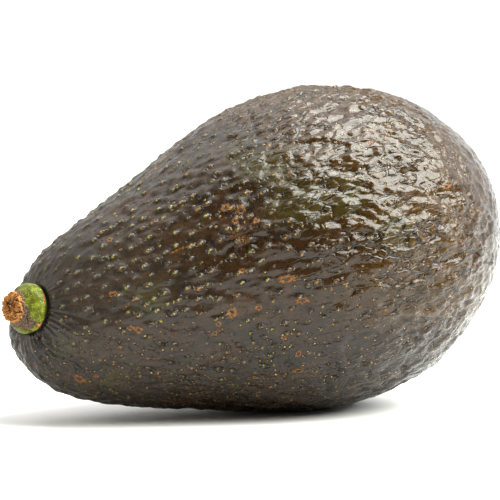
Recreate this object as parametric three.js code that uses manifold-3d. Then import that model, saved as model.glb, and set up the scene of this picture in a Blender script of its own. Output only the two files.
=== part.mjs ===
import * as THREE from 'three';
import { mergeVertices } from 'three/addons/utils/BufferGeometryUtils.js';
import Module from 'manifold-3d';

// An avocado lying on its belly. Millimetres, +Z up, +X from the stem to the blossom end.

// Body: a ball stretched along its axis, swollen by a pear-shaped series
const length = 112.4;
const ballRadius = 32.6;
const swell = { lean: 0.42, waist: -0.21, shoulder: -0.28, ends: 0.52, tips: -0.34 };
const flattening = 0.01;
const sag = 0.65;
const neckSag = 0.8;
const tilt = THREE.MathUtils.degToRad(14.5);
const ballDetail = 21;

// Relief of the skin
const pebbleCount = 620;
const pebbleReach = 0.115;
const pebbleHeight = 0.8;
const pebbleSink = 0.3;
const waveHeight = 0.35;
const grooveCount = 19;
const grooveDepth = 0.35;
const grooveReach = 11;
const recessDepth = 0.6;
const recessReach = 6;
const scarRadius = 3.2;
const scarHeight = 0.4;
const seed = 7;

// Flat spot that carries the fruit
const flatDepth = 0.55;
const calmHeight = 2.5;

// Stem: where it grows, as a direction from the middle of the ball, and its sizes
const stemDirection = new THREE.Vector3(-0.9545, -0.1577, 0.2531).normalize();
const collarRadius = 5.1;
const stubRadius = 2.85;
const stubHeight = 4.6;
const stemDroop = 0.1;
const rootRadius = 3;
const rootDepth = 4.5;
const gap = 0.3;
const stemSegments = 48;

// Swellings and a notch round the collar: turn in degrees, spread in radians, height out
const collarLobes = [
  { turn: -45, spread: 0.4, out: 0.55 },
  { turn: 60, spread: 0.5, out: 0.3 },
  { turn: -76, spread: 0.2, out: -0.4 },
];

const goldenAngle = Math.PI * (3 - Math.sqrt(5));

function seededRandom(start) {
  let state = start;
  return () => {
    state = (state * 1664525 + 1013904223) % 4294967296;
    return state / 4294967296;
  };
}

function smoothStep(from, to, value) {
  return THREE.MathUtils.smoothstep(value, from, to);
}

// Smooth body, before relief: a point of the unit ball goes to its place on the fruit
function bodyPoint(direction) {
  const c = direction.x;
  const belly = 1 - c * c;
  const width = 1 + swell.lean * c + swell.waist * c ** 2 + swell.shoulder * c ** 3
    + swell.ends * c ** 4 + swell.tips * c ** 6;
  const y = ballRadius * width * direction.y;
  const z = ballRadius * width * (1 - flattening) * direction.z - belly * (sag + neckSag * c);
  return new THREE.Vector3(length / 2 * c, y, z).applyAxisAngle(new THREE.Vector3(0, -1, 0), tilt);
}

function bodyNormal(direction) {
  const step = 0.002;
  const side = new THREE.Vector3(0, 0, 1).cross(direction).normalize();
  const rise = direction.clone().cross(side);
  const here = bodyPoint(direction);
  const across = bodyPoint(direction.clone().addScaledVector(side, step).normalize()).sub(here);
  const along = bodyPoint(direction.clone().addScaledVector(rise, step).normalize()).sub(here);
  return across.cross(along).normalize();
}

// Pebbles stand on a jittered spiral over the ball, each with its own size;
// the skin between them lies a little under the smooth body
function pebbles() {
  const random = seededRandom(seed);
  const list = [];
  for (let i = 0; i < pebbleCount; i += 1) {
    const x = 1 - 2 * (i + 0.5) / pebbleCount;
    const turn = i * goldenAngle + 0.12 * random();
    const ring = Math.sqrt(1 - x * x);
    const centre = new THREE.Vector3(x, ring * Math.cos(turn), ring * Math.sin(turn));
    centre.x += 0.03 * (random() - 0.5);
    const size = 0.75 + 0.45 * random();
    list.push({ centre: centre.normalize(), reach: pebbleReach * size, height: pebbleHeight * size });
  }
  return list;
}

function pebbleRelief(direction, list) {
  let relief = 0;
  for (const pebble of list) {
    const distance = direction.distanceTo(pebble.centre);
    if (distance < pebble.reach) {
      const bump = pebble.height * (1 - (distance / pebble.reach) ** 2);
      relief = Math.max(relief, bump);
    }
  }
  return relief;
}

function waveRelief(d) {
  const slow = Math.sin(5.1 * d.x + 3.3 * d.z + 0.8) * Math.sin(4.3 * d.y - 2.2 * d.z);
  const quick = Math.sin(9.7 * d.x - 6.1 * d.y) * Math.sin(8.3 * d.z + 1.9);
  return waveHeight * (slow + 0.5 * quick);
}

// Grooves run out from the stem and the skin dips where the collar sits
function stemRelief(point, place) {
  const offset = point.clone().sub(place.point);
  const away = offset.length();
  const turn = Math.atan2(offset.dot(place.side), offset.dot(place.rise));
  const start = smoothStep(recessReach - 2, recessReach, away);
  const fade = start * (1 - smoothStep(recessReach, grooveReach, away));
  const groove = grooveDepth * fade * 0.5 * (Math.cos(grooveCount * turn) - 1);
  const dip = -recessDepth * Math.exp(-((away / recessReach) ** 4));
  return groove + dip;
}

// A small round scar is left at the blossom end
function blossomRelief(point, tip) {
  const away = point.distanceTo(tip) / scarRadius;
  const ring = Math.exp(-((away - 1.6) ** 2) * 3);
  return scarHeight * (Math.exp(-(away ** 2)) - ring);
}

function stemPlace() {
  const point = bodyPoint(stemDirection);
  const droop = new THREE.Vector3(0, 0, -stemDroop);
  const axis = bodyNormal(stemDirection).add(droop).normalize();
  const side = new THREE.Vector3(0, 0, 1).cross(axis).normalize();
  const rise = axis.clone().cross(side);
  return { point, axis, side, rise };
}

function skinGeometry(place) {
  const geometry = new THREE.IcosahedronGeometry(1, ballDetail);
  geometry.deleteAttribute('normal');
  geometry.deleteAttribute('uv');
  const ball = mergeVertices(geometry, 1e-5);
  const points = ball.attributes.position;
  const list = pebbles();
  const tip = bodyPoint(new THREE.Vector3(1, 0, 0));
  const floor = lowestPoint(points);
  for (let i = 0; i < points.count; i += 1) {
    const direction = new THREE.Vector3().fromBufferAttribute(points, i).normalize();
    const point = bodyPoint(direction);
    const nearStem = smoothStep(4, 14, point.distanceTo(place.point));
    const calm = smoothStep(0, calmHeight, point.z - floor - flatDepth);
    const relief = nearStem * (pebbleRelief(direction, list) - pebbleSink) + waveRelief(direction);
    const shaped = calm * (relief + stemRelief(point, place) + blossomRelief(point, tip));
    point.addScaledVector(bodyNormal(direction), shaped);
    points.setXYZ(i, point.x, point.y, point.z - floor - flatDepth);
  }
  return ball;
}

function lowestPoint(points) {
  let lowest = Infinity;
  for (let i = 0; i < points.count; i += 1) {
    const direction = new THREE.Vector3().fromBufferAttribute(points, i).normalize();
    lowest = Math.min(lowest, bodyPoint(direction).z);
  }
  return lowest;
}

// Outline of the stem from the foot of its root to the broken end, grown by a margin
function stemOutline(margin) {
  const points = [
    [0, -rootDepth - margin],
    [rootRadius * 0.8 + margin, -rootDepth - margin],
    [rootRadius + margin, -rootDepth + 1],
    [rootRadius + 0.2 + margin, -1.9 - margin],
    [collarRadius - 0.9 + margin, -1.5 - margin],
    [collarRadius - 0.1 + margin, -0.7 - margin],
    [collarRadius + margin, -0.1],
    [collarRadius + margin, 0.4],
    [collarRadius - 0.15 + margin, 0.9],
    [collarRadius - 0.45 + margin, 1.5],
    [collarRadius - 0.9 + margin, 2],
    [stubRadius + 0.95 + margin, 2.3],
    [stubRadius + 0.6 + margin, 2.6],
    [stubRadius + 0.3 + margin, 2.9],
    [stubRadius + 0.15 + margin, 3.2],
    [stubRadius + margin, 3.6],
    [stubRadius + 0.1 + margin, stubHeight - 0.6],
    [stubRadius - 0.05 + margin, stubHeight - 0.3],
    [stubRadius - 0.4 + margin, stubHeight - 0.1],
    [stubRadius * 0.75 + margin, stubHeight + margin],
    [stubRadius * 0.5, stubHeight + margin],
    [stubRadius * 0.25, stubHeight - 0.1 + margin],
    [0, stubHeight + margin],
  ];
  return points.map(([radius, height]) => new THREE.Vector2(radius, height));
}

function collarRelief(turn) {
  let relief = 0.12 * Math.sin(3 * turn + 0.6);
  for (const lobe of collarLobes) {
    const away = turn - THREE.MathUtils.degToRad(lobe.turn);
    relief += lobe.out * Math.exp(-((away / lobe.spread) ** 2));
  }
  return relief;
}

// Lobes on the collar, cracks down the bark and a crumbled end
function roughenStem(geometry) {
  const points = geometry.attributes.position;
  for (let i = 0; i < points.count; i += 1) {
    const p = new THREE.Vector3().fromBufferAttribute(points, i);
    const radius = Math.hypot(p.x, p.z);
    const turn = Math.atan2(-p.z, p.x);
    const collar = smoothStep(-1, 0.2, p.y) * (1 - smoothStep(2, 3, p.y));
    const bark = smoothStep(2.4, 3.4, p.y);
    const lobes = collar * collarRelief(turn);
    const cracks = 0.16 * bark * Math.sin(9 * turn + 2.2 * p.y);
    const crumble = Math.sin(2.6 * p.x + 1) * Math.cos(2.9 * p.z) + 0.5 * Math.sin(5.3 * p.x - 4.7 * p.z);
    const rise = 0.3 * smoothStep(stubHeight - 0.6, stubHeight - 0.1, p.y) * crumble;
    const scale = radius > 0.01 ? 1 + (lobes + cracks) / Math.max(radius, 1.5) : 1;
    points.setXYZ(i, p.x * scale, p.y + rise, p.z * scale);
  }
}

function stemGeometry(place, floor, margin) {
  const lathe = new THREE.LatheGeometry(stemOutline(margin), stemSegments);
  lathe.deleteAttribute('normal');
  lathe.deleteAttribute('uv');
  const geometry = mergeVertices(lathe, 1e-4);
  roughenStem(geometry);
  const turn = new THREE.Matrix4().makeBasis(place.side, place.axis, place.side.clone().cross(place.axis));
  geometry.applyMatrix4(turn);
  geometry.translate(place.point.x, place.point.y, place.point.z - floor);
  return geometry;
}

function solidFrom(wasm, geometry) {
  const indexed = geometry.index ? geometry : mergeVertices(geometry, 1e-4);
  return new wasm.Manifold(new wasm.Mesh({
    numProp: 3,
    vertProperties: new Float32Array(indexed.attributes.position.array),
    triVerts: new Uint32Array(indexed.index.array),
  }));
}

function geometryFrom(solid) {
  const mesh = solid.getMesh();
  const geometry = new THREE.BufferGeometry();
  geometry.setAttribute('position', new THREE.BufferAttribute(new Float32Array(mesh.vertProperties), 3));
  geometry.setIndex(new THREE.BufferAttribute(new Uint32Array(mesh.triVerts), 1));
  geometry.computeVertexNormals();
  return geometry;
}

function groundBlock() {
  const block = new THREE.BoxGeometry(3 * length, 3 * length, length);
  block.deleteAttribute('normal');
  block.deleteAttribute('uv');
  block.translate(0, 0, -length / 2);
  return mergeVertices(block, 1e-4);
}

function namedMesh(name, geometry, color, roughness) {
  const material = new THREE.MeshStandardMaterial({ color, roughness, metalness: 0 });
  const mesh = new THREE.Mesh(geometry, material);
  mesh.name = name;
  return mesh;
}

// Centre the group's box on the origin, with its foot at z = 0
function settle(meshes) {
  const box = new THREE.Box3();
  for (const mesh of meshes) {
    box.union(new THREE.Box3().setFromBufferAttribute(mesh.geometry.attributes.position));
  }
  const centre = box.getCenter(new THREE.Vector3());
  for (const mesh of meshes) {
    mesh.geometry.translate(-centre.x, -centre.y, -box.min.z);
  }
}

const wasm = await Module();
wasm.setup();

const place = stemPlace();
const skin = skinGeometry(place);
const floor = lowestPoint(new THREE.IcosahedronGeometry(1, ballDetail).attributes.position) + flatDepth;

const body = solidFrom(wasm, skin)
  .subtract(solidFrom(wasm, stemGeometry(place, floor, gap)))
  .subtract(solidFrom(wasm, groundBlock()));
const fruit = namedMesh('fruit', geometryFrom(body), '#554737', 0.45);
const stem = namedMesh('stem', stemGeometry(place, floor, 0), '#7b8038', 0.7);
stem.geometry.computeVertexNormals();

settle([fruit, stem]);

const avocado = new THREE.Group();
avocado.name = 'avocado';
avocado.add(fruit, stem);

export default avocado;
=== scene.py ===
import math
from types import SimpleNamespace

import bmesh
import bpy
import numpy as np
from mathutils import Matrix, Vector, noise
from mathutils.bvhtree import BVHTree
from mathutils.kdtree import KDTree


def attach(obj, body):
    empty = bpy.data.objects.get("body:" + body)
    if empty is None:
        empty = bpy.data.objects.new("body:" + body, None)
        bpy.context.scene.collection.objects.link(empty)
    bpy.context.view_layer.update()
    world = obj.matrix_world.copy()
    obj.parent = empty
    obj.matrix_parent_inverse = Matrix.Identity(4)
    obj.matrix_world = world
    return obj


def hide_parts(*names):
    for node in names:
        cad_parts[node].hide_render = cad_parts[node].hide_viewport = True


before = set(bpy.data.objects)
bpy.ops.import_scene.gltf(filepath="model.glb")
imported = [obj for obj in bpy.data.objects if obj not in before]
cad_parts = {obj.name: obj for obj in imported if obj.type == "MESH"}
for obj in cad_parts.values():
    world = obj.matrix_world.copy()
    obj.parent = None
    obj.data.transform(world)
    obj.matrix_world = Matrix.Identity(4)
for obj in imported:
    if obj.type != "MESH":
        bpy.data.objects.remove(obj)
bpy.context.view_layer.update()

# Lengths are in millimetres, apart from the studio's; a mesh is scaled to metres when made
metresPerMm = 0.001

# Camera: the photograph's standpoint
shot = {
    "azimuth": -26.0,
    "elevation": 4.0,
    "distance": 533.5,
    "target": (0.128, 0.167, 34.399),
    "lens": 180.9,
    "sensor": 36.0,
    "picture": 500,
}

# Body: the same pear-shaped ball as the solid
body = {
    "length": 112.4,
    "ballRadius": 32.6,
    "lean": 0.42,
    "waist": -0.21,
    "shoulder": -0.28,
    "ends": 0.52,
    "tips": -0.34,
    "flattening": 0.01,
    "sag": 0.65,
    "neckSag": 0.8,
    "tilt": math.radians(14.5),
    "middle": (-1.836, -0.399, -31.325),
    "stemDirection": (-0.9545, -0.1577, 0.2531),
    "stemDroop": 0.1,
}


def unit(vectors):
    return vectors / np.linalg.norm(vectors, axis=-1, keepdims=True)


def smoothStep(low, high, value):
    t = np.clip((value - low) / (high - low), 0, 1)
    return t * t * (3 - 2 * t)


# A direction from the ball's middle goes to its place on the smooth body
def bodyPoint(d):
    c = d[:, 0]
    belly = 1 - c * c
    width = (
        1
        + body["lean"] * c
        + body["waist"] * c**2
        + body["shoulder"] * c**3
        + body["ends"] * c**4
        + body["tips"] * c**6
    )
    x = body["length"] / 2 * c
    y = body["ballRadius"] * width * d[:, 1]
    z = body["ballRadius"] * width * (1 - body["flattening"]) * d[:, 2]
    z = z - belly * (body["sag"] + body["neckSag"] * c)
    cosTilt, sinTilt = math.cos(body["tilt"]), math.sin(body["tilt"])
    placed = np.stack([x * cosTilt - z * sinTilt, y, x * sinTilt + z * cosTilt], 1)
    return placed - np.array(body["middle"])


def bodyFrame(d):
    step = 0.002
    side = unit(np.cross([0.0, 0.0, 1.0], d) + 1e-9)
    rise = np.cross(d, side)
    here = bodyPoint(d)
    across = bodyPoint(unit(d + side * step)) - here
    along = bodyPoint(unit(d + rise * step)) - here
    normal = np.cross(across, along)
    area = np.linalg.norm(normal, axis=1) / step**2
    return here, unit(normal), area


stemDirection = unit(np.array([body["stemDirection"]]))
stemPoints, stemNormals, _ = bodyFrame(stemDirection)
stemPoint = stemPoints[0]
stemAxis = unit(stemNormals[0] - np.array([0.0, 0.0, body["stemDroop"]]))
stemSide = unit(np.cross([0.0, 0.0, 1.0], stemAxis))
stemRise = np.cross(stemAxis, stemSide)

# Skin: relief in millimetres
skin = {
    "cuts": 127,
    "seed": 7,
    "pebbleCount": 620,
    "pebbleReach": 0.115,
    "pebbleHeight": 0.8,
    "pebbleSink": 0.3,
    "pebbleShare": 0.5,
    "waveHeight": 0.35,
    "calmHeight": 2.5,
    "wartTries": 60000,
    "wartSpacing": 2.1,
    "wartStretch": 1.6,
    "wartHeight": 0.38,
    "pitDepth": 0.4,
    "plateTries": 70000,
    "plateSpacing": 1.9,
    "plateStretch": 1.4,
    "plateHeight": 0.26,
    "plateLean": 0.16,
    "plateWarp": 0.7,
    "plateWarpSize": 2.6,
    "wrinkleSize": 4.6,
    "wrinkleStretch": 1.7,
    "wrinkleHeight": 0.36,
    "creaseSize": 1.7,
    "creaseStretch": 2.2,
    "creaseHeight": 0.13,
    "netSize": 2.6,
    "netHeight": 0.1,
    "grooveCount": 31,
    "grooveDepth": 1.0,
    "grooveReach": 19.0,
    "recessDepth": 0.4,
    "recessReach": 5.7,
    "lipRadius": 5.1,
    "lipWidth": 0.22,
    "lipDepth": 0.6,
    "blossomRadius": 3.2,
    "blossomHeight": 0.4,
    "tearRays": 11,
    "tearRadius": 3.6,
    "tearHeight": 0.55,
}

# Where each zone of the skin begins and is whole
zones = {
    "nearStem": (4, 14),  # mm from the stem
    "pastCollar": (5.6, 8),
    "pastNeck": (6, 30),
    "low": (26, 10),  # mm above the ground
    "high": (38, 58),
    "belly": (-0.35, 0.35),  # along the ball, from -1 at the stem to 1
    "tip": (0.45, 0.9),
}

# Marks on the skin, at pixels of the photograph
marks = {
    # Corky scars: x, y, radius in mm, stretch along the fruit
    "scars": [
        (232, 313, 1.1, 1.0),
        (259, 308, 0.7, 1.2),
        (218, 324, 0.6, 1.1),
        (215, 333, 0.55, 1.0),
        (241, 211, 1.0, 1.0),
        (226, 209, 0.8, 1.3),
        (235, 222, 0.7, 1.0),
        (256, 222, 0.7, 1.0),
        (298, 353, 0.75, 1.0),
        (297, 369, 0.7, 1.9),
        (303, 301, 0.8, 1.9),
        (287, 279, 0.8, 2.6),
        (139, 330, 0.7, 1.1),
        (130, 328, 0.5, 1.5),
        (79, 379, 0.8, 2.3),
        (96, 377, 0.5, 1.2),
        (242, 271, 0.55, 1.5),
        (446, 187, 0.55, 2.4),
        (284, 338, 0.5, 1.2),
        (255, 377, 0.5, 1.2),
        (110, 240, 0.6, 1.2),
        (113, 294, 0.6, 1.6),
        (370, 143, 0.5, 1.8),
    ],
    # Scratches, from one end to the other
    "scratches": [
        [(145, 178), (155, 167), (166, 156), (176, 148), (184, 142)],
        [(170, 254), (180, 249), (193, 246)],
        [(322, 262), (325, 275), (332, 290)],
        [(124, 309), (131, 302), (140, 297)],
    ],
    # Middle of the star-shaped tear
    "tear": (242, 237),
    # Soft olive and dark patches: x, y, radius in mm
    "olive": [
        (268, 168, 9),
        (300, 205, 9),
        (245, 150, 6),
        (345, 195, 7),
        (395, 225, 6),
        (118, 378, 5),
        (60, 350, 4),
        (150, 300, 5),
    ],
    "stains": [
        (264, 272, 3.4),
        (300, 250, 6),
        (316, 268, 4),
        (296, 313, 3),
        (243, 262, 2.6),
        (345, 245, 5),
    ],
}


def pictureAxes():
    a, e = math.radians(shot["azimuth"]), math.radians(shot["elevation"])
    back = Vector((math.sin(a) * math.cos(e), -math.cos(a) * math.cos(e), math.sin(e)))
    right = Vector((math.cos(a), math.sin(a), 0))
    return back, right, back.cross(right)


def eyePoint():
    back, _, _ = pictureAxes()
    return Vector(shot["target"]) + back * shot["distance"]


# Where the line of sight through a pixel of the photograph meets the body
def skinAtPixel(tree, x, y):
    back, right, up = pictureAxes()
    half = shot["picture"] / 2
    focal = shot["lens"] / shot["sensor"] * shot["picture"]
    ray = (right * ((x - half) / focal) - up * ((y - half) / focal) - back).normalized()
    hit, _, _, _ = tree.ray_cast(eyePoint(), ray)
    if hit is None:
        raise ValueError(f"no skin at pixel {x}, {y}")
    return np.array(hit)


def seededDraws(state):
    while True:
        state = (state * 1664525 + 1013904223) % 4294967296
        yield state / 4294967296


# Broad pebbles, as on the solid
def pebbleRelief(d):
    draws = seededDraws(skin["seed"])
    goldenAngle = math.pi * (3 - math.sqrt(5))
    relief = np.zeros(len(d))
    for i in range(skin["pebbleCount"]):
        x = 1 - 2 * (i + 0.5) / skin["pebbleCount"]
        turn = i * goldenAngle + 0.12 * next(draws)
        ring = math.sqrt(1 - x * x)
        centre = np.array([x, ring * math.cos(turn), ring * math.sin(turn)])
        centre[0] += 0.03 * (next(draws) - 0.5)
        centre /= np.linalg.norm(centre)
        size = 0.75 + 0.45 * next(draws)
        reach = skin["pebbleReach"] * size
        near = np.nonzero(d @ centre > 1 - reach * reach / 2)[0]
        distance = np.linalg.norm(d[near] - centre, axis=1) / reach
        bump = skin["pebbleHeight"] * size * np.clip(1 - distance**2, 0, 1)
        relief[near] = np.maximum(relief[near], bump)
    return relief - skin["pebbleSink"]


def waveRelief(d):
    x, y, z = d.T
    slow = np.sin(5.1 * x + 3.3 * z + 0.8) * np.sin(4.3 * y - 2.2 * z)
    quick = np.sin(9.7 * x - 6.1 * y) * np.sin(8.3 * z + 1.9)
    return skin["waveHeight"] * (slow + 0.5 * quick)


# Grooves that run out from the stem, deepest below it
def stemGrooves(points):
    offset = points - stemPoint
    away = np.linalg.norm(offset, axis=1)
    turn = np.arctan2(offset @ stemSide, offset @ stemRise)
    start = skin["recessReach"]
    fade = smoothStep(start - 2, start, away) * (1 - smoothStep(start, skin["grooveReach"], away))
    wobble = turn + 0.12 * np.sin(3 * turn + 0.4 * away) + 0.05 * np.sin(11 * turn + 0.9 * away)
    fold = np.abs(np.cos(skin["grooveCount"] / 2 * wobble)) ** 0.6 - 1
    below = 0.3 + 0.7 * smoothStep(0.2, -0.7, np.cos(turn))
    return skin["grooveDepth"] * fade * fold * below * (0.7 + 0.5 * np.sin(5 * turn + 1))


# The skin dips under the collar, with a narrow gap at its rim
def stemRelief(points):
    away = np.linalg.norm(points - stemPoint, axis=1)
    dip = -skin["recessDepth"] * np.exp(-((away / skin["recessReach"]) ** 4))
    lip = -skin["lipDepth"] * np.exp(-(((away - skin["lipRadius"]) / skin["lipWidth"]) ** 2))
    return dip + lip


def blossomRelief(points):
    tip = bodyPoint(np.array([[1.0, 0.0, 0.0]]))[0]
    away = np.linalg.norm(points - tip, axis=1) / skin["blossomRadius"]
    return skin["blossomHeight"] * (np.exp(-(away**2)) - np.exp(-((away - 1.6) ** 2) * 3))


# Noise of a mathutils function over many points
def noiseOver(points, size, stretch, kind):
    scaled = points / size
    scaled[:, 0] /= stretch
    return np.array([kind(Vector(p)) for p in scaled])


def softNoise(p):
    return noise.fractal(p, 0.8, 2.1, 3)


def ridgeNoise(p):
    return noise.ridged_multi_fractal(p, 0.9, 2.2, 3, 0.9, 1.6)


def evened(values):
    return np.tanh((values - values.mean()) / values.std())


# Random places on the body, kept a spacing apart
def scattered(spacing, tries, seed):
    rng = np.random.default_rng(seed)
    d = unit(rng.normal(size=(tries, 3)))
    _, _, area = bodyFrame(d)
    d = d[rng.random(len(d)) < area / area.max()]
    points, normals, _ = bodyFrame(d)
    cells, kept = {}, []
    for i, p in enumerate(points):
        key = tuple(np.floor(p / spacing).astype(int))
        crowded = False
        for dx in (-1, 0, 1):
            for dy in (-1, 0, 1):
                for dz in (-1, 0, 1):
                    for j in cells.get((key[0] + dx, key[1] + dy, key[2] + dz), ()):
                        gapHere = points[j] - p
                        crowded = crowded or gapHere @ gapHere < spacing**2
        if not crowded:
            cells.setdefault(key, []).append(i)
            kept.append(i)
    looks = rng.random((len(kept), 3))
    return points[kept], normals[kept], looks


# Lines that run out from the stem, along the skin
def flowAt(points, normals):
    outward = points - stemPoint
    outward = outward - normals * (outward * normals).sum(1, keepdims=True)
    outward = unit(outward + 1e-6)
    return outward, np.cross(normals, outward)


def treeOf(centres):
    tree = KDTree(len(centres))
    for i, c in enumerate(centres):
        tree.insert(c, i)
    tree.balance()
    return tree


def nearest(centres, points):
    tree = treeOf(centres)
    return np.array([tree.find(p)[1] for p in points])


# Plates: cells around scattered places, each with its own lean, parted by creases
def plateRelief(points, cross):
    centres, _, looks = scattered(skin["plateSpacing"], skin["plateTries"], skin["seed"] + 1)
    squeeze = np.array([1 / skin["plateStretch"], 1, 1])
    size = skin["plateWarpSize"]
    warp = np.stack([noiseOver(points + s, size, 1.0, softNoise) for s in (3.0, 41.0, 77.0)], 1)
    tree = treeOf(centres * squeeze)
    found = [tree.find_n(p, 2) for p in (points + skin["plateWarp"] * warp) * squeeze]
    which = np.array([f[0][1] for f in found])
    edge = np.array([f[1][2] - f[0][2] for f in found])
    offset = ((points - centres[which]) * cross).sum(1)
    lean = skin["plateLean"] * (2 * looks[which, 0] - 1) * offset
    top = smoothStep(0, 0.75, edge)
    return (skin["plateHeight"] * (0.5 + 0.5 * looks[which, 1]) + lean) * top, edge


def newObject(name, bm):
    mesh = bpy.data.meshes.new(name)
    bm.to_mesh(mesh)
    bm.free()
    obj = bpy.data.objects.new(name, mesh)
    bpy.context.scene.collection.objects.link(obj)
    return obj


def addFloats(mesh, name, values):
    layer = mesh.attributes.new(name, "FLOAT", "POINT")
    layer.data.foreach_set("value", np.ascontiguousarray(values, np.float32))


def addVectors(mesh, name, values):
    layer = mesh.attributes.new(name, "FLOAT_VECTOR", "POINT")
    layer.data.foreach_set("vector", np.ascontiguousarray(values, np.float32).ravel())


def smoothShade(mesh):
    mesh.polygons.foreach_set("use_smooth", np.ones(len(mesh.polygons), bool))
    mesh.update()


# Soft patches round the marked places
def patches(points, tree, places):
    share = np.zeros(len(points))
    for x, y, radius in places:
        away = np.linalg.norm(points - skinAtPixel(tree, x, y), axis=1)
        share = np.maximum(share, np.exp(-((away / radius) ** 2)))
    return share


# A cube's grid, and the direction of each of its points from the ball's middle
def ballGrid():
    bm = bmesh.new()
    bmesh.ops.create_cube(bm, size=2)
    bmesh.ops.subdivide_edges(bm, edges=bm.edges[:], cuts=skin["cuts"], use_grid_fill=True)
    obj = newObject("skin", bm)
    grid = np.zeros(len(obj.data.vertices) * 3)
    obj.data.vertices.foreach_get("co", grid)
    return obj, unit(np.tan(grid.reshape(-1, 3) * math.pi / 4))


# Each point's share of every zone
def zoneShares(points, c):
    fromStem = np.linalg.norm(points - stemPoint, axis=1)
    measures = {"nearStem": fromStem, "pastCollar": fromStem, "pastNeck": fromStem}
    measures.update({"low": points[:, 2], "high": points[:, 2], "belly": c, "tip": c})
    shares = {name: smoothStep(*zones[name], value) for name, value in measures.items()}
    return SimpleNamespace(fromStem=fromStem, **shares)


# The wart nearest to each point: offset along and across the fruit, and the wart's looks
def wartCells(points, zone):
    centres, normals, looks = scattered(skin["wartSpacing"], skin["wartTries"], skin["seed"])
    flow, cross = flowAt(centres, normals)
    which = nearest(centres, points)
    offset = points - centres[which]
    along = (offset * flow[which]).sum(1) / (skin["wartStretch"] - 0.4 * zone.belly)
    across = (offset * cross[which]).sum(1)
    print("warts:", len(centres))
    return along, across, looks[which]


# Long wrinkles, fine creases, and a net of ridges at the blossom end
def wrinkleRelief(points, zone):
    spread = zone.pastNeck * (1 - 0.68 * zone.tip)
    ridge = evened(noiseOver(points, skin["wrinkleSize"], skin["wrinkleStretch"], ridgeNoise))
    crease = noiseOver(points + 31.0, skin["creaseSize"], skin["creaseStretch"], softNoise)
    net = evened(noiseOver(points + 57.0, skin["netSize"], 1.0, ridgeNoise))
    wrinkleForce = (0.16 + 0.59 * zone.belly) * (1 - 0.2 * zone.low) * spread
    creaseForce = (0.5 + 0.5 * zone.belly) * (1 + zone.low * (1 - 1.6 * zone.belly)) * spread
    wrinkles = skin["wrinkleHeight"] * wrinkleForce * ridge
    creases = skin["creaseHeight"] * creaseForce * crease / crease.std()
    return wrinkles + creases, skin["netHeight"] * zone.tip * net


# Rays round the middle of the tear
def tearRelief(points, flow, cross, middle):
    away = points - middle
    distance = np.linalg.norm(away, axis=1)
    turn = np.arctan2((away * cross).sum(1), (away * flow).sum(1))
    rays = np.cos(skin["tearRays"] * turn + 0.8 * np.sin(2 * turn))
    fade = np.exp(-((distance / skin["tearRadius"]) ** 2)) * smoothStep(0.2, 1.4, distance)
    return skin["tearHeight"] * rays * fade, distance


# Offset from the nearest scar, in radii of that scar
def addScars(mesh, tree, points, normals, flow, cross):
    centres = np.array([skinAtPixel(tree, x, y) for x, y, _, _ in marks["scars"]])
    looks = np.array([(radius, stretch) for _, _, radius, stretch in marks["scars"]])
    which = nearest(centres, points)
    offset = points - centres[which]
    radius, stretch = looks[which].T
    along = (offset * flow).sum(1) / stretch / radius
    across = (offset * cross).sum(1) / radius
    placed = np.stack([along, across, (offset * normals).sum(1)], 1)
    addVectors(mesh, "scarOffset", placed)
    addFloats(mesh, "scarAway", np.linalg.norm(placed, axis=1))


# Distance from the nearest scratch
def addScratches(mesh, tree, points):
    nearLine = np.full(len(points), 9.0)
    for line in marks["scratches"]:
        spots = [skinAtPixel(tree, x, y) for x, y in line]
        for a, b in zip(spots[:-1], spots[1:]):
            run = b - a
            t = np.clip((points - a) @ run / (run @ run), 0, 1)
            away = np.linalg.norm(points - a - t[:, None] * run, axis=1)
            nearLine = np.minimum(nearLine, away)
    addFloats(mesh, "scratch", nearLine)


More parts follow.
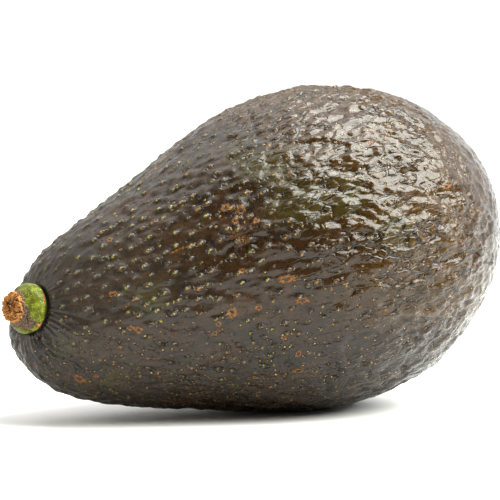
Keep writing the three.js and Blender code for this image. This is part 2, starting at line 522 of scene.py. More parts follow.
def buildSkin():
    obj, d = ballGrid()
    mesh = obj.data
    points, normals, _ = bodyFrame(d)
    tree = BVHTree.FromPolygons(points.tolist(), [list(p.vertices) for p in mesh.polygons])
    flow, cross = flowAt(points, normals)
    zone = zoneShares(points, d[:, 0])
    low, belly, tip = zone.low, zone.belly, zone.tip
    flat = np.zeros(len(points))

    along, across, looks = wartCells(points, zone)
    size = 0.42 + 0.36 * looks[:, 0]
    strong = looks[:, 1]
    reach = np.hypot(along, across) / size
    wartForce = (0.3 + 0.9 * strong) * (1 - 0.7 * low) * (1 - 0.75 * belly) * zone.pastCollar
    warts = skin["wartHeight"] * wartForce * np.exp(-(reach**2))
    sunken = low * (strong < 0.5) * zone.pastCollar
    pits = -skin["pitDepth"] * sunken * np.exp(-((reach * 1.3) ** 2))

    wrinkles, net = wrinkleRelief(points, zone)
    plates, edge = plateRelief(points, cross)
    plateForce = (0.03 + 0.97 * belly) * (1 - 0.6 * low) * zone.nearStem * (1 - 0.8 * tip)
    star, fromTear = tearRelief(points, flow, cross, skinAtPixel(tree, *marks["tear"]))
    stain = patches(points, tree, marks["stains"])

    pebbles = skin["pebbleShare"] * zone.nearStem * pebbleRelief(d) * (1 - 0.75 * tip)
    grooves = stemGrooves(points)
    shape = pebbles + waveRelief(d) + grooves + stemRelief(points) + blossomRelief(points)
    fine = warts + pits + wrinkles + plates * plateForce + net + star - 0.25 * stain
    calm = smoothStep(0, skin["calmHeight"], points[:, 2])
    placed = points + normals * (calm * (shape + fine))[:, None]
    placed[:, 2] = np.maximum(placed[:, 2], 0)
    mesh.vertices.foreach_set("co", (placed * metresPerMm).astype(np.float32).ravel())

    addVectors(mesh, "dotOffset", np.stack([along, across, flat], 1))
    addFloats(mesh, "dotAway", np.hypot(along, across))
    dotSize = (0.08 + 0.17 * looks[:, 2]) * (strong > 0.3) * (1 - 0.5 * belly) * (1 - 0.4 * low)
    addFloats(mesh, "dotSize", dotSize * zone.pastCollar)
    addFloats(mesh, "dotHue", looks[:, 0] + 0.1 + 0.8 * belly + 0.2 * zone.high)
    wartSize = size * (0.45 + 0.55 * strong) * (1 - 0.3 * low)
    addFloats(mesh, "wartSize", wartSize * zone.pastCollar)
    bumpForce = (0.3 + 0.7 * strong) * (1 - 0.8 * belly) * (1 - 0.6 * low)
    addFloats(mesh, "wartForce", bumpForce * zone.pastCollar)
    addFloats(mesh, "sunken", sunken * (0.5 + 0.5 * looks[:, 2]))
    # Depth in the relief, which drives the painted shade in its hollows, grooves and between plates
    hollow = -(wrinkles + 0.5 * warts + pits + star) / 0.2 + 0.8 * plateForce * (1 - edge / 0.4)
    addFloats(mesh, "hollow", hollow - 3.5 * (grooves + 0.2))
    spoke = unit(points - stemPoint)
    addVectors(mesh, "spoke", np.stack([spoke @ stemRise, spoke @ stemSide, flat], 1))
    addFloats(mesh, "fromStem", zone.fromStem)
    addFloats(mesh, "low", low)
    addFloats(mesh, "plain", 1 - belly)
    addFloats(mesh, "tip", tip)
    addFloats(mesh, "stain", stain)
    addFloats(mesh, "olive", patches(points, tree, marks["olive"]))
    addFloats(mesh, "fromTear", fromTear)
    addScars(mesh, tree, points, normals, flow, cross)
    addScratches(mesh, tree, points)

    smoothShade(mesh)
    print("skin:", len(mesh.vertices), "points")
    return obj


# Stem: outline from the root to the broken end, radius and height in mm
stem = {
    "outline": [
        (0.0, -4.5),
        (2.4, -4.5),
        (3.0, -3.5),
        (3.2, -1.9),
        (4.2, -1.5),
        (5.0, -0.7),
        (5.1, -0.1),
        (5.1, 0.4),
        (4.95, 0.9),
        (4.65, 1.5),
        (4.2, 2.0),
        (3.8, 2.3),
        (3.45, 2.6),
        (3.15, 2.9),
        (3.0, 3.2),
        (2.85, 3.6),
        (2.95, 4.0),
        (2.8, 4.3),
        (2.45, 4.5),
        (2.1, 4.6),
        (1.4, 4.6),
        (0.7, 4.5),
        (0.0, 4.6),
    ],
    "rings": 140,
    "segments": 190,
    "lumpSize": 1.6,
    "gritSize": 0.38,
    "crumbSize": 0.62,
    "pockSize": 0.7,
    # Swellings and a notch round the collar: turn, spread, height out
    "lobes": [(-45, 0.4, 0.55), (60, 0.5, 0.3), (-70, 0.16, -0.45)],
    # Where green gives way to bark: turn in degrees, height on the collar
    "greenEdge": [
        (-180, 0.8),
        (-150, 1.1),
        (-125, 1.6),
        (-100, 1.9),
        (-84, 1.9),
        (-76, 1.4),
        (-71, -0.6),
        (-62, -0.9),
        (-57, 0.3),
        (-52, 1.1),
        (-44, 1.0),
        (-38, 0.2),
        (-32, 0.9),
        (-26, 2.0),
        (-10, 2.6),
        (10, 2.9),
        (50, 3.0),
        (90, 2.6),
        (115, 1.9),
        (140, 1.2),
        (180, 0.8),
    ],
    # Orange cork on the collar's rim: turn, height, half sizes along and up
    "rimCork": [(-36, 0.1, 0.8, 0.55), (28, -0.2, 1.4, 0.3)],
}


def softLine(points, count, rounds):
    line = np.array(points)
    run = np.concatenate([[0], np.cumsum(np.linalg.norm(np.diff(line, axis=0), axis=1))])
    even = np.linspace(0, run[-1], count)
    line = np.stack([np.interp(even, run, line[:, 0]), np.interp(even, run, line[:, 1])], 1)
    for _ in range(rounds):
        line[1:-1] = (line[:-2] + 2 * line[1:-1] + line[2:]) / 4
    return line


def turnGap(turn, degrees):
    return np.abs((turn - math.radians(degrees) + math.pi) % (2 * math.pi) - math.pi)


def collarRelief(turn):
    relief = 0.12 * np.sin(3 * turn + 0.6)
    for degrees, spread, out in stem["lobes"]:
        relief += out * np.exp(-((turnGap(turn, degrees) / spread) ** 2))
    return relief


def buildStem():
    bm = bmesh.new()
    line = softLine(stem["outline"], stem["rings"], 5)
    verts = [bm.verts.new((r, 0, h)) for r, h in line]
    edges = [bm.edges.new(pair) for pair in zip(verts[:-1], verts[1:])]
    bmesh.ops.spin(
        bm,
        geom=verts + edges,
        cent=(0, 0, 0),
        axis=(0, 0, 1),
        angle=2 * math.pi,
        steps=stem["segments"],
        use_merge=True,
    )
    bmesh.ops.remove_doubles(bm, verts=bm.verts[:], dist=1e-4)
    bmesh.ops.recalc_face_normals(bm, faces=bm.faces[:])
    obj = newObject("stemPiece", bm)
    mesh = obj.data
    co = np.zeros(len(mesh.vertices) * 3)
    mesh.vertices.foreach_get("co", co)
    co = co.reshape(-1, 3)
    x, y, h = co.T
    radius = np.hypot(x, y)
    turn = np.arctan2(y, x)
    outward = np.stack([x, y, np.zeros(len(x))], 1) / np.maximum(radius, 0.3)[:, None]

    collar = smoothStep(-1, 0.2, h) * (1 - smoothStep(2, 3, h))
    bark = smoothStep(2.2, 3.2, h)
    end = smoothStep(3.9, 4.45, h)
    lumps = noiseOver(co, stem["lumpSize"], 1.0, softNoise)
    grit = evened(noiseOver(co + 17.0, stem["gritSize"], 1.0, ridgeNoise))
    crumbs = evened(noiseOver(co + 5.0, stem["crumbSize"], 1.0, ridgeNoise))
    pocks = evened(noiseOver(co + 29.0, stem["pockSize"], 1.0, softNoise))

    turns, heights = zip(*stem["greenEdge"])
    edge = np.interp(np.degrees(turn), turns, heights) + 0.35 * lumps
    green = smoothStep(0.2, -0.15, h - edge)
    rim = np.zeros(len(x))
    for degrees, height, along, up in stem["rimCork"]:
        away = np.hypot(turnGap(turn, degrees) * 5 / along, (h - height) / up) + 0.5 * lumps
        rim = np.maximum(rim, smoothStep(1.15, 0.75, away))

    rough = (1 - green) * smoothStep(-1, 0.5, h)
    radial = collar * (collarRelief(turn) + 0.05 * lumps) - 0.3 * collar * (1 - green)
    radial += rough * (0.1 * grit + 0.14 * lumps) + bark * (0.12 * crumbs + 0.08 * pocks)
    hollow = np.exp(-(((x + 0.8) ** 2 + (y - 0.5) ** 2) / 0.4))
    rise = end * (0.34 * crumbs + 0.16 * grit + 0.12 * pocks - 0.4 * hollow)
    co = co + outward * radial[:, None]
    co[:, 2] += rise
    placed = stemPoint + co[:, :1] * stemSide + co[:, 1:2] * stemRise + co[:, 2:] * stemAxis
    mesh.vertices.foreach_set("co", (placed * metresPerMm).astype(np.float32).ravel())
    corkEdge = 3.3 + 0.45 * np.sin(turn + 0.4) + 0.4 * lumps
    addFloats(mesh, "green", green)
    addFloats(mesh, "corky", np.maximum(smoothStep(-0.2, 0.2, h - corkEdge), rim * (h < 2)))
    # Depth among the crumbs and in the end's hollow, for the painted shade in the cork's crevices
    addFloats(mesh, "creviceShade", -0.5 * (crumbs + grit + 0.6 * pocks) + 0.9 * hollow * end)
    # Nearness to the root, for the painted shade low on the collar
    addFloats(mesh, "under", smoothStep(0.3, -0.7, h))
    smoothShade(mesh)
    print("stem:", len(mesh.vertices), "points")
    return obj


def newMaterial(name):
    material = bpy.data.materials.new(name)
    material.use_nodes = True
    tree = material.node_tree
    shader = tree.nodes["Principled BSDF"]
    return material, tree, shader


def addNode(tree, kind, settings=None, inputs=None):
    node = tree.nodes.new(kind)
    for key, value in (settings or {}).items():
        setattr(node, key, value)
    for key, value in (inputs or {}).items():
        if isinstance(value, bpy.types.NodeSocket):
            tree.links.new(value, node.inputs[key])
        else:
            node.inputs[key].default_value = value
    return node


def attribute(tree, name, output="Fac"):
    return addNode(tree, "ShaderNodeAttribute", {"attribute_name": name}).outputs[output]


def noiseTexture(tree, vector, scale, detail=3.0, roughness=0.55):
    inputs = {"Vector": vector, "Scale": scale, "Detail": detail, "Roughness": roughness}
    return addNode(tree, "ShaderNodeTexNoise", None, inputs).outputs["Fac"]


def ranged(tree, value, low, high, toLow=0.0, toHigh=1.0):
    inputs = {"Value": value, "From Min": low, "From Max": high, "To Min": toLow, "To Max": toHigh}
    settings = {"interpolation_type": "SMOOTHSTEP"}
    return addNode(tree, "ShaderNodeMapRange", settings, inputs).outputs["Result"]


def maths(tree, operation, a, b=0.0):
    return addNode(tree, "ShaderNodeMath", {"operation": operation}, {0: a, 1: b}).outputs[0]


def times(tree, a, b):
    return maths(tree, "MULTIPLY", a, b)


def plus(tree, *values):
    total = values[0]
    for value in values[1:]:
        total = maths(tree, "ADD", total, value)
    return total


# A noise value, about zero instead of about a half
def centred(tree, value):
    return maths(tree, "SUBTRACT", value, 0.5)


def mixed(tree, factor, a, b):
    inputs = {0: factor, 6: a, 7: b}
    return addNode(tree, "ShaderNodeMix", {"data_type": "RGBA"}, inputs).outputs[2]


def vectorTimesPlus(tree, vector, factors, shift):
    inputs = {0: vector, 1: factors, 2: shift}
    return addNode(tree, "ShaderNodeVectorMath", {"operation": "MULTIPLY_ADD"}, inputs).outputs[0]


# Length of an offset attribute, kept from shrinking where neighbouring cells meet
def cellLength(tree, offset, away, slack):
    length = addNode(tree, "ShaderNodeVectorMath", {"operation": "LENGTH"}, {0: offset})
    return maths(tree, "MAXIMUM", length.outputs["Value"], maths(tree, "SUBTRACT", away, slack))


# A position shifted by noise, for cracks that wander
def warped(tree, place, scale, amount):
    inputs = {"Vector": place, "Scale": scale, "Detail": 2.0}
    shift = addNode(tree, "ShaderNodeTexNoise", None, inputs).outputs["Color"]
    return vectorTimesPlus(tree, shift, (amount,) * 3, place)


# Colours of the skin, linear, among them colours for painted light, sheen, shade and glints
skinColors = {
    "brown": (0.036, 0.0162, 0.0044, 1),
    "umber": (0.0118, 0.0055, 0.0017, 1),
    "rust": (0.045, 0.0168, 0.0034, 1),
    # Painted light: warm tan that brightens the upper belly where the key light falls
    "tan": (0.09, 0.043, 0.0055, 1),
    "olive": (0.03, 0.0255, 0.004, 1),
    # Painted sheen: grey laid over the brown near the stem
    "paintedSheen": (0.023, 0.0195, 0.014, 1),
    # Near-black brown for painted shade in hollows, creases, moats, pits and the gap at the stem, and
    # for dark grain and patches
    "hollow": (0.0052, 0.0026, 0.0009, 1),
    "stain": (0.019, 0.0082, 0.0018, 1),
    "halo": (0.07, 0.062, 0.018, 1),
    # Painted glint on the warts
    "paintedGlint": (0.33, 0.29, 0.2, 1),
    "lime": (0.27, 0.225, 0.035, 1),
    "amber": (0.32, 0.118, 0.018, 1),
    "cork": (0.19, 0.067, 0.005, 1),
    "gold": (0.42, 0.27, 0.05, 1),
}

skinFinish = {
    # Scales of the textures, per metre
    "fineScale": 1500,
    "grainScale": 3200,
    "streakScale": 520,
    "mottleScale": 190,
    "cloudScale": 85,
    "crackScale": 640,
    "crackWarpScale": 420,
    "crackWarp": 0.0011,
    "foldScale": 150,
    "speckScale": 1050,
    "drawnOut": 2.5,  # how much longer the streaks are along the fruit
    # Heights of the relief in millimetres
    "wart": 0.34,
    "dent": 0.3,
    "leather": 0.035,
    "grain": 0.018,
    "streaks": 0.04,
    "cracks": 0.05,
    "splits": 0.09,
    "pits": 0.08,
    "folds": 0.07,
    "scar": 0.1,
    "foldCount": 46,
    "foldBend": 9.0,
    # Gloss
    "ior": 1.36,
    "roughness": (0.14, 0.26),
    "neckRoughness": 0.13,
    "tipRoughness": 0.1,
    "stemRoughness": 0.16,
    "gapRoughness": 0.4,
    "wartGloss": 0.14,
    "cloudGloss": 0.07,
}


# Textures and attributes that the stages of the skin share
def skinFields(tree):
    place = addNode(tree, "ShaderNodeTexCoord").outputs["Object"]
    longer = (skinFinish["drawnOut"], 1, 1)
    inputs = {"Vector": place, "Rotation": (0, -body["tilt"], 0), "Scale": longer}
    drawn = addNode(tree, "ShaderNodeMapping", {"vector_type": "TEXTURE"}, inputs).outputs[0]
    clouds = noiseTexture(tree, drawn, skinFinish["cloudScale"], 3)
    return SimpleNamespace(
        place=place,
        drawn=drawn,
        fine=noiseTexture(tree, place, skinFinish["fineScale"], 4),
        grain=noiseTexture(tree, place, skinFinish["grainScale"], 2),
        streaks=noiseTexture(tree, drawn, skinFinish["streakScale"], 5, 0.65),
        mottle=noiseTexture(tree, drawn, skinFinish["mottleScale"], 3),
        clouds=ranged(tree, clouds, 0.42, 0.62),
        low=attribute(tree, "low"),
        plain=attribute(tree, "plain"),
        tip=attribute(tree, "tip"),
        fromStem=attribute(tree, "fromStem"),
    )


# Brown ground with rust and olive, painted light in warm tan, painted sheen in grey near the stem, and
# painted shade in dark hollows
def skinGround(tree, base):
    streaked = ranged(tree, base.streaks, 0.36, 0.64)
    color = mixed(tree, streaked, skinColors["umber"], skinColors["brown"])
    rusty = ranged(tree, base.mottle, 0.5, 0.66)
    color = mixed(tree, times(tree, rusty, 0.6), color, skinColors["rust"])
    # Painted light: the upper belly brightened to warm tan where the key light falls, less at the tip
    paintedLight = times(tree, ranged(tree, base.plain, 0.7, 0.1), ranged(tree, base.low, 0.6, 0.0))
    paintedLight = times(tree, paintedLight, ranged(tree, base.tip, 0, 1, 0.45, 0.1))
    color = mixed(tree, paintedLight, color, skinColors["tan"])
    # Painted sheen: grey mixed in near the stem, fading out by 45 mm
    paintedSheen = ranged(tree, base.fromStem, 45, 10)
    color = mixed(tree, times(tree, paintedSheen, 0.45), color, skinColors["paintedSheen"])
    dusky = times(tree, ranged(tree, base.mottle, 0.6, 0.4), base.low)
    color = mixed(tree, times(tree, dusky, 0.75), color, skinColors["umber"])
    color = mixed(tree, ranged(tree, base.grain, 0.4, 0.64, 0.0, 0.68), color, skinColors["hollow"])
    color = mixed(tree, times(tree, base.clouds, 0.4), color, skinColors["hollow"])
    grooved = ranged(tree, base.streaks, 0.6, 0.68)
    flaws = maths(tree, "MAXIMUM", ranged(tree, base.fine, 0.56, 0.63), grooved)
    flaws = times(tree, flaws, ranged(tree, base.low, 0, 1, 0.4, 0.9))
    color = mixed(tree, flaws, color, skinColors["hollow"])
    uneven = centred(tree, base.mottle)
    olive = plus(tree, attribute(tree, "olive"), times(tree, uneven, 1.6))
    olive = times(tree, ranged(tree, olive, 0.4, 1.0), 0.55)
    color = mixed(tree, olive, color, skinColors["olive"])
    stain = plus(tree, attribute(tree, "stain"), uneven)
    stain = times(tree, ranged(tree, stain, 0.3, 0.8), 0.8)
    color = mixed(tree, stain, color, skinColors["stain"])
    # Painted shade: darker where the relief sinks, in wrinkles, pits, grooves and between plates
    hollow = ranged(tree, attribute(tree, "hollow"), 0.2, 1.4)
    hollow = times(tree, hollow, ranged(tree, base.tip, 0, 1, 0.7, 0.4))
    hollow = times(tree, hollow, ranged(tree, base.plain, 0, 1, 0.8, 1.0))
    return mixed(tree, hollow, color, skinColors["hollow"])


# Fine folds that run out from the stem, with painted shade in their troughs
def skinFolds(tree, base, color):
    spoke = attribute(tree, "spoke", "Vector")
    spoke = addNode(tree, "ShaderNodeSeparateXYZ", None, {0: spoke}).outputs
    turn = maths(tree, "ARCTAN2", spoke[1], spoke[0])
    bend = centred(tree, noiseTexture(tree, base.place, skinFinish["foldScale"], 2))
    bend = times(tree, bend, skinFinish["foldBend"])
    fold = maths(tree, "SINE", plus(tree, times(tree, turn, skinFinish["foldCount"]), bend))
    folded = times(tree, ranged(tree, base.fromStem, 5.0, 5.8), ranged(tree, base.fromStem, 15.0, 7.0))
    folded = times(tree, folded, ranged(tree, spoke[0], 0.5, -0.3, 0.3, 1.0))  # strongest below
    # Painted shade in the troughs of the folds, strongest below the stem
    crease = times(tree, ranged(tree, fold, -0.2, -0.9), folded)
    color = mixed(tree, times(tree, crease, 0.75), color, skinColors["hollow"])
    return color, times(tree, times(tree, fold, folded), skinFinish["folds"])


# Fine cracks all over the belly, and darker splits in places
def skinCracks(tree, base, color):
    place = warped(tree, base.drawn, skinFinish["crackWarpScale"], skinFinish["crackWarp"])
    inputs = {"Vector": place, "Scale": skinFinish["crackScale"], "Randomness": 1.0}
    settings = {"feature": "DISTANCE_TO_EDGE"}
    edges = addNode(tree, "ShaderNodeTexVoronoi", settings, inputs).outputs["Distance"]
    onBelly = times(tree, ranged(tree, base.plain, 0.9, 0.3), ranged(tree, base.tip, 0, 1, 1.0, 0.25))
    broken = ranged(tree, plus(tree, base.mottle, times(tree, base.streaks, 0.4)), 0.66, 0.8)
    broken = times(tree, broken, onBelly)
    crack = times(tree, ranged(tree, edges, 0.0, 0.22), ranged(tree, onBelly, 0, 1, 0.25, 1.0))
    split = times(tree, ranged(tree, edges, 0.14, 0.04), broken)
    color = mixed(tree, times(tree, split, 0.8), color, skinColors["hollow"])
    return color, crack, split


# Warts with painted shadow in a dark moat, a painted glint on a pale crest and a lime or amber fleck,
# and dents low on the sides darkened with painted shade
def skinWarts(tree, base, color):
    offset = attribute(tree, "dotOffset", "Vector")
    away = attribute(tree, "dotAway")
    force = attribute(tree, "wartForce")
    ragged = centred(tree, base.fine)
    gritty = centred(tree, base.grain)
    distance = plus(tree, cellLength(tree, offset, away, 0.3), times(tree, ragged, 0.7))
    inner = maths(tree, "SUBTRACT", distance, attribute(tree, "wartSize"))
    wart = times(tree, ranged(tree, inner, 0.08, -0.4), force)
    # Painted shadow: a dark moat round each wart
    moatShade = times(tree, ranged(tree, inner, -0.12, 0.02), ranged(tree, inner, 0.34, 0.08))
    moatShade = times(tree, moatShade, force)
    color = mixed(tree, times(tree, moatShade, 0.9), color, skinColors["hollow"])
    # Painted shade in the dents
    dent = times(tree, ranged(tree, distance, 0.8, 0.25), attribute(tree, "sunken"))
    color = mixed(tree, times(tree, dent, 0.8), color, skinColors["hollow"])

    moved = vectorTimesPlus(tree, offset, (1.5, 1, 0), (0.13, 0.12, 0))
    fleck = plus(tree, cellLength(tree, moved, away, 0.45), times(tree, gritty, 1.1))
    inside = maths(tree, "SUBTRACT", attribute(tree, "dotSize"), fleck)
    halo = ranged(tree, inside, -0.5, 0.05)
    color = mixed(tree, times(tree, halo, 0.3), color, skinColors["halo"])
    # Painted glint: a pale spot on the upper side of each wart, where the key light reflects
    lifted = vectorTimesPlus(tree, offset, (1.3, 1, 0), (-0.16, -0.12, 0))
    paintedGlint = plus(tree, cellLength(tree, lifted, away, 0.45), times(tree, gritty, 0.9))
    paintedGlint = times(tree, ranged(tree, paintedGlint, 0.24, 0.1), ranged(tree, force, 0.5, 0.95))
    paintedGlint = times(tree, paintedGlint, ranged(tree, base.fromStem, 8, 32, 0.2, 1.0))
    color = mixed(tree, times(tree, paintedGlint, 0.55), color, skinColors["paintedGlint"])
    dot = ranged(tree, inside, -0.05, 0.05)
    dot = times(tree, dot, ranged(tree, base.low, 0, 1, 0.75, 0.6))
    dot = times(tree, dot, ranged(tree, base.fromStem, 8, 28, 0.45, 1.0))
    hue = plus(tree, attribute(tree, "dotHue"), times(tree, base.plain, -0.1))
    hue = ranged(tree, plus(tree, hue, times(tree, gritty, 1.8)), 0.35, 0.5)
    dotColor = mixed(tree, hue, skinColors["lime"], skinColors["amber"])
    return mixed(tree, dot, color, dotColor), wart, dent


# Small gold and amber specks, each in a pit darkened with painted shade, more of them low down
def skinSpecks(tree, base, color):
    inputs = {"Vector": base.place, "Scale": skinFinish["speckScale"], "Randomness": 1.0}
    specks = addNode(tree, "ShaderNodeTexVoronoi", None, inputs).outputs
    draws = addNode(tree, "ShaderNodeSeparateColor", None, {0: specks["Color"]}).outputs
    ragged = times(tree, centred(tree, base.fine), 0.25)
    spot = plus(tree, specks["Distance"], ragged, times(tree, draws[2], 0.09))
    rare = ranged(tree, plus(tree, draws[0], times(tree, base.low, 0.55)), 0.78, 0.82)
    pit = times(tree, ranged(tree, spot, 0.5, 0.26), rare)
    speck = times(tree, ranged(tree, spot, 0.22, 0.13), rare)
    hue = ranged(tree, draws[1], 0.4, 0.6)
    speckColor = mixed(tree, hue, skinColors["gold"], skinColors["amber"])
    # Painted shade in the pits
    color = mixed(tree, times(tree, pit, 0.75), color, skinColors["hollow"])
    return mixed(tree, times(tree, speck, 0.9), color, speckColor), pit


# Corky scars with a dark heart, scratches, and the crumbs of the tear
def skinScars(tree, base, color):
    ragged = centred(tree, base.fine)
    gritty = centred(tree, base.grain)
    offset = attribute(tree, "scarOffset", "Vector")
    reach = cellLength(tree, offset, attribute(tree, "scarAway"), 0.5)
    reach = plus(tree, reach, times(tree, ragged, 1.5), times(tree, gritty, 1.2))
    scar = ranged(tree, reach, 1.0, 0.8)
    heart = ranged(tree, reach, 0.5, 0.3)
    scarColor = mixed(tree, heart, skinColors["cork"], skinColors["stain"])
    flaky = ranged(tree, base.grain, 0.38, 0.56, 0.3, 0.85)
    color = mixed(tree, times(tree, scar, flaky), color, scarColor)
    scratch = plus(tree, attribute(tree, "scratch"), times(tree, ragged, 0.9))
    scratch = ranged(tree, scratch, 0.2, 0.02)
    color = mixed(tree, times(tree, scratch, 0.75), color, skinColors["cork"])
    torn = plus(tree, attribute(tree, "fromTear"), times(tree, centred(tree, base.streaks), 9.0))
    torn = times(tree, ranged(tree, torn, 2.2, 1.0), ranged(tree, base.grain, 0.48, 0.56))
    color = mixed(tree, times(tree, torn, 0.7), color, skinColors["cork"])
    return color, scar, heart, torn


def skinRoughness(tree, base, wart):
    rough = ranged(tree, base.fine, 0.3, 0.7, *skinFinish["roughness"])
    return plus(
        tree,
        rough,
        times(tree, base.tip, skinFinish["tipRoughness"]),
        times(tree, base.plain, skinFinish["neckRoughness"]),
        times(tree, ranged(tree, base.fromStem, 40, 10), skinFinish["stemRoughness"]),
        times(tree, wart, -skinFinish["wartGloss"]),
        times(tree, base.clouds, -skinFinish["cloudGloss"]),
        ranged(tree, base.fromStem, 5.45, 5.1, 0.0, skinFinish["gapRoughness"]),
    )


def skinMaterial():
    material, tree, shader = newMaterial("skinFinish")
    base = skinFields(tree)
    color = skinGround(tree, base)
    color, folds = skinFolds(tree, base, color)
    color, crack, split = skinCracks(tree, base, color)
    color, wart, dent = skinWarts(tree, base, color)
    color, pit = skinSpecks(tree, base, color)
    color, scar, heart, torn = skinScars(tree, base, color)
    # Painted shade: a dark ring in the gap round the collar
    paintedGapShade = ranged(tree, base.fromStem, 5.35, 5.0)
    color = mixed(tree, times(tree, paintedGapShade, 0.9), color, skinColors["hollow"])
    tree.links.new(color, shader.inputs["Base Color"])
    tree.links.new(skinRoughness(tree, base, wart), shader.inputs["Roughness"])
    shader.inputs["IOR"].default_value = skinFinish["ior"]

    coarse = times(tree, base.low, ranged(tree, base.plain, 0.1, 0.8))
    texture = plus(
        tree,
        times(tree, base.fine, skinFinish["leather"]),
        times(tree, base.grain, skinFinish["grain"]),
        times(tree, base.streaks, skinFinish["streaks"]),
        times(tree, crack, skinFinish["cracks"]),
        times(tree, split, -skinFinish["splits"]),
    )
    texture = times(tree, texture, ranged(tree, coarse, 0, 1, 1.0, 2.4))
    texture = times(tree, texture, ranged(tree, base.tip, 0, 1, 1.0, 0.65))
    pitted = times(tree, pit, ranged(tree, coarse, 0, 1, 1.0, 2.2))
    relief = plus(
        tree,
        texture,
        folds,
        times(tree, wart, skinFinish["wart"]),
        times(tree, dent, -skinFinish["dent"]),
        times(tree, pitted, -skinFinish["pits"]),
        times(tree, scar, skinFinish["scar"]),
        times(tree, heart, -skinFinish["scar"]),
        times(tree, torn, skinFinish["scar"]),
    )
    inputs = {"Strength": 1.0, "Distance": metresPerMm, "Height": relief}
    bump = addNode(tree, "ShaderNodeBump", None, inputs)
    tree.links.new(bump.outputs[0], shader.inputs["Normal"])
    return material


stemColors = {
    "green": (0.055, 0.065, 0.0012, 1),
    "paleGreen": (0.13, 0.155, 0.005, 1),
    # Painted shade: darker green low on the collar next to the skin
    "paintedShadeGreen": (0.03, 0.034, 0.001, 1),
    # Painted glints on the green
    "glint": (0.6, 0.58, 0.33, 1),
    "bark": (0.17, 0.115, 0.078, 1),
    "darkBark": (0.03, 0.018, 0.011, 1),
    "cork": (0.45, 0.2, 0.062, 1),
    # Painted shade in the cork's crevices
    "corkShade": (0.055, 0.018, 0.006, 1),
}

stemFinish = {
    # Scales of the textures, per metre
    "fineScale": 3200,
    "blotchScale": 900,
    "glintScale": 4600,
    "ior": 1.23,
    "greenRoughness": 0.4,
    "barkRoughness": 0.85,
    "bumpHeight": 0.3,  # millimetres
}


def stemMaterial():
    material, tree, shader = newMaterial("stemFinish")
    place = addNode(tree, "ShaderNodeTexCoord").outputs["Object"]
    fine = noiseTexture(tree, place, stemFinish["fineScale"], 4)
    blotch = noiseTexture(tree, place, stemFinish["blotchScale"], 3)
    ragged = centred(tree, fine)
    leafy = ranged(tree, blotch, 0.42, 0.66)
    leafy = mixed(tree, leafy, stemColors["green"], stemColors["paleGreen"])
    # Painted shade: darker green low on the collar next to the skin
    under = times(tree, attribute(tree, "under"), 0.7)
    leafy = mixed(tree, under, leafy, stemColors["paintedShadeGreen"])
    # Painted glints: small pale sparks scattered on the green
    glints = ranged(tree, noiseTexture(tree, place, stemFinish["glintScale"], 2), 0.63, 0.7)
    leafy = mixed(tree, times(tree, glints, 0.6), leafy, stemColors["glint"])
    bark = mixed(tree, ranged(tree, fine, 0.38, 0.62), stemColors["darkBark"], stemColors["bark"])
    # Painted shade: the cork darker in its crevices and in the end's hollow
    creviceShade = plus(tree, attribute(tree, "creviceShade"), times(tree, ragged, 2.0))
    cork = mixed(tree, ranged(tree, creviceShade, -0.5, 0.7), stemColors["cork"], stemColors["corkShade"])
    corky = plus(tree, attribute(tree, "corky"), times(tree, ragged, 0.8))
    color = mixed(tree, ranged(tree, corky, 0.4, 0.6), bark, cork)
    green = plus(tree, attribute(tree, "green"), centred(tree, blotch))
    green = times(tree, ranged(tree, green, 0.4, 0.6), ranged(tree, corky, 0.6, 0.4))
    color = mixed(tree, green, color, leafy)
    tree.links.new(color, shader.inputs["Base Color"])
    rough = ranged(tree, green, 0, 1, stemFinish["barkRoughness"], stemFinish["greenRoughness"])
    tree.links.new(rough, shader.inputs["Roughness"])
    shader.inputs["IOR"].default_value = stemFinish["ior"]
    height = plus(tree, times(tree, fine, 1.4), times(tree, blotch, 0.8))
    height = times(tree, height, ranged(tree, green, 0, 1, 1.0, 0.4))
    distance = stemFinish["bumpHeight"] * metresPerMm
    inputs = {"Strength": 1.0, "Distance": distance, "Height": height}
    bump = addNode(tree, "ShaderNodeBump", None, inputs)
    tree.links.new(bump.outputs[0], shader.inputs["Normal"])
    return material


# Studio, in metres
studio = {
    "middle": (0.01, 0, 0.035),
    "floorHalfWidth": 2.0,
    "floorFront": -0.4,
    "floorBack": 0.9,
    "sweepRadius": 0.5,
    "sweepTop": 1.6,
    "sweepSteps": 16,
    "floorColor": (0.8, 0.8, 0.8, 1),
    "floorRoughness": 0.9,
    "world": (0.088, 0.085, 0.07, 1),
    "keyDirection": (0.47, -0.38, 0.8),
    "keyDistance": 0.75,
    "keySize": (0.62, 0.9),
    "keyPower": 32.0,
    "keyColor": (0.97, 0.985, 0.91),
    "sideDirection": (0.91, 0.3, 0.22),
    "sideDistance": 0.8,
    "sideSize": (0.9, 0.9),
    "sidePower": 5.0,
    "sideColor": (0.93, 0.975, 1.0),
    "topHeight": 1.5,
    "topSize": 1.6,
    "topBack": 0.7,
    "topSide": 0.1,
    "topPower": 25.0,
    "topColor": (0.985, 0.99, 0.985),
    "fillDirection": (-0.9, 0.3, 0.4),
    "fillDistance": 0.8,
    "fillSize": (0.7, 0.7),
    "fillPower": 4.6,
    "fillColor": (1.0, 0.97, 0.88),
}


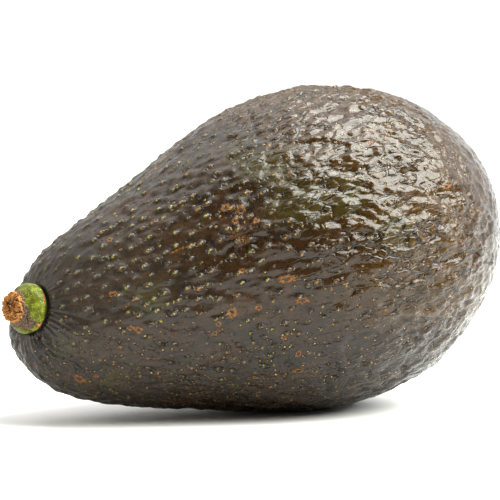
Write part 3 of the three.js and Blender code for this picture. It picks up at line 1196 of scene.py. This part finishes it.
def buildSweep():
    bm = bmesh.new()
    radius, back = studio["sweepRadius"], studio["floorBack"]
    line = [(studio["floorFront"], 0.0), (back, 0.0)]
    steps = studio["sweepSteps"]
    for i in range(1, steps + 1):
        angle = math.pi / 2 * i / steps
        line.append((back + radius * math.sin(angle), radius * (1 - math.cos(angle))))
    line.append((back + radius, studio["sweepTop"]))
    verts = [bm.verts.new((-studio["floorHalfWidth"], y, z)) for y, z in line]
    edges = [bm.edges.new(pair) for pair in zip(verts[:-1], verts[1:])]
    made = bmesh.ops.extrude_edge_only(bm, edges=edges)
    moved = [g for g in made["geom"] if isinstance(g, bmesh.types.BMVert)]
    bmesh.ops.translate(bm, verts=moved, vec=(2 * studio["floorHalfWidth"], 0, 0))
    bmesh.ops.recalc_face_normals(bm, faces=bm.faces[:])
    sweep = newObject("paperSweep", bm)
    smoothShade(sweep.data)
    material, _, shader = newMaterial("paper")
    shader.inputs["Base Color"].default_value = studio["floorColor"]
    shader.inputs["Roughness"].default_value = studio["floorRoughness"]
    sweep.data.materials.append(material)


def areaLight(name, location, target, size, power, color):
    data = bpy.data.lights.new(name, "AREA")
    data.shape = "RECTANGLE"
    data.size, data.size_y = size
    data.energy = power
    data.color = color
    obj = bpy.data.objects.new(name, data)
    bpy.context.scene.collection.objects.link(obj)
    obj.location = location
    obj.rotation_euler = (Vector(target) - Vector(location)).to_track_quat("-Z", "Y").to_euler()
    return obj


def buildStudio():
    buildSweep()
    middle = Vector(studio["middle"])
    for name in ("key", "side", "fill"):
        direction = Vector(studio[name + "Direction"]).normalized()
        place = middle + direction * studio[name + "Distance"]
        power, color = studio[name + "Power"], studio[name + "Color"]
        areaLight(name, place, middle, studio[name + "Size"], power, color)
    under = (studio["topSide"], studio["topBack"], 0)
    top = (studio["topSide"], studio["topBack"], studio["topHeight"])
    size = (studio["topSize"],) * 2
    areaLight("overhead", top, under, size, studio["topPower"], studio["topColor"])
    world = bpy.data.worlds.new("studioAir")
    world.use_nodes = True
    world.node_tree.nodes["Background"].inputs["Color"].default_value = studio["world"]
    bpy.context.scene.world = world
    bpy.context.scene.view_settings.view_transform = "Standard"


def buildCamera():
    back, _, _ = pictureAxes()
    data = bpy.data.cameras.new("photoCamera")
    data.lens = shot["lens"]
    data.sensor_width = shot["sensor"]
    data.clip_start, data.clip_end = 0.01, 20
    camera = bpy.data.objects.new("photoCamera", data)
    bpy.context.scene.collection.objects.link(camera)
    camera.location = eyePoint() * metresPerMm
    camera.rotation_euler = (-back).to_track_quat("-Z", "Y").to_euler()
    bpy.context.scene.camera = camera


skinPiece = buildSkin()
skinPiece.data.materials.append(skinMaterial())
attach(skinPiece, "root")
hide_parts("fruit")

stemPiece = buildStem()
stemPiece.data.materials.append(stemMaterial())
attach(stemPiece, "root")
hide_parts("stem")

buildStudio()
buildCamera()
print("studio and camera ready")
